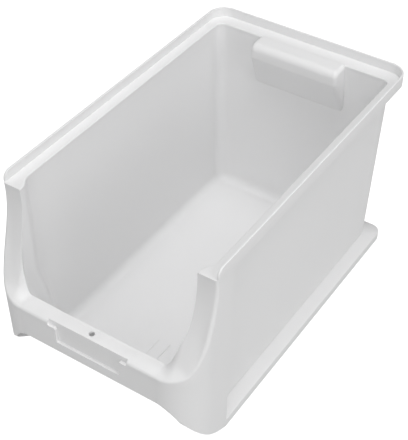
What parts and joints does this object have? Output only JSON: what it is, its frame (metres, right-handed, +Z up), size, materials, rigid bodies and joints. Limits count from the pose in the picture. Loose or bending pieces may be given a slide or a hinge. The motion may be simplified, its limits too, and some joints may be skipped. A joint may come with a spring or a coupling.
{
  "type": "stackable storage box",
  "caption": "Open-topped stackable storage box with a low scooped front, a stacking rim, base rails, a rear hand grip and a label pocket.",
  "frame": {"origin": "middle of the footprint (bounding box), on the surface that the box stands on", "axes": "+X to the right seen from the open front, +Y from the open front to the back wall, +Z up"},
  "size_m": [0.205, 0.353, 0.2],
  "materials": {
    "moulding": "satin"
  },
  "bodies": {
    "root": {"floor_panel": "moulding", "left_side_wall": "moulding", "right_side_wall": "moulding", "back_wall": "moulding", "rear_grip": "moulding", "front_inner_wall": "moulding", "front_lip": "moulding", "front_apron": "moulding", "left_front_corner": "moulding", "right_front_corner": "moulding", "left_front_column": "moulding", "right_front_column": "moulding", "left_rim_ledge": "moulding", "right_rim_ledge": "moulding", "back_rim_ledge": "moulding", "left_rim_upstand": "moulding", "right_rim_upstand": "moulding", "back_rim_upstand": "moulding", "left_base_rail": "moulding", "right_base_rail": "moulding", "back_base_rail": "moulding"}
  },
  "joints": []
}
